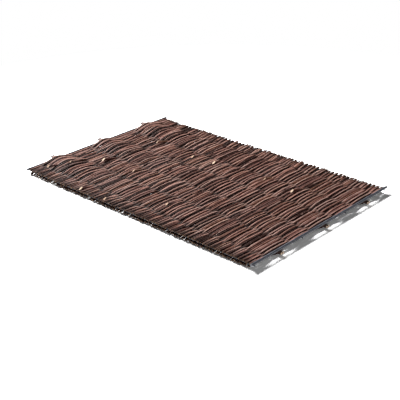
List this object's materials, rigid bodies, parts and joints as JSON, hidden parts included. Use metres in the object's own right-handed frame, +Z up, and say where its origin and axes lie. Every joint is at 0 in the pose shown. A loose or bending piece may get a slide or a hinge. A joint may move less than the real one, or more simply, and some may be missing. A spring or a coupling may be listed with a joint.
{
  "type": "woven fence panel",
  "caption": "Flat rectangular fence panel of dark willow withies woven over and under willow stakes and thin steel rods, held between round steel side bars.",
  "frame": {"origin": "middle of the panel's footprint, on the surface that it lies on", "axes": "+X along the long side, from one side bar to the other, +Y across the panel along the withies, +Z up out of its upper face"},
  "size_m": [1.2203, 0.8, 0.0441],
  "materials": {
    "willow_bark": "matt bark",
    "willow_stake": "matt bark",
    "black_steel": "satin"
  },
  "bodies": {
    "root": {"woven_willow": "willow_bark", "front_pair_front_stake": "willow_stake", "front_pair_back_stake": "willow_stake", "middle_pair_front_stake": "willow_stake", "middle_pair_back_stake": "willow_stake", "back_pair_front_stake": "willow_stake", "back_pair_back_stake": "willow_stake", "left_side_bar": "black_steel", "right_side_bar": "black_steel", "front_edge_rod": "black_steel", "front_inner_rod": "black_steel", "back_inner_rod": "black_steel", "back_edge_rod": "black_steel"}
  },
  "joints": []
}
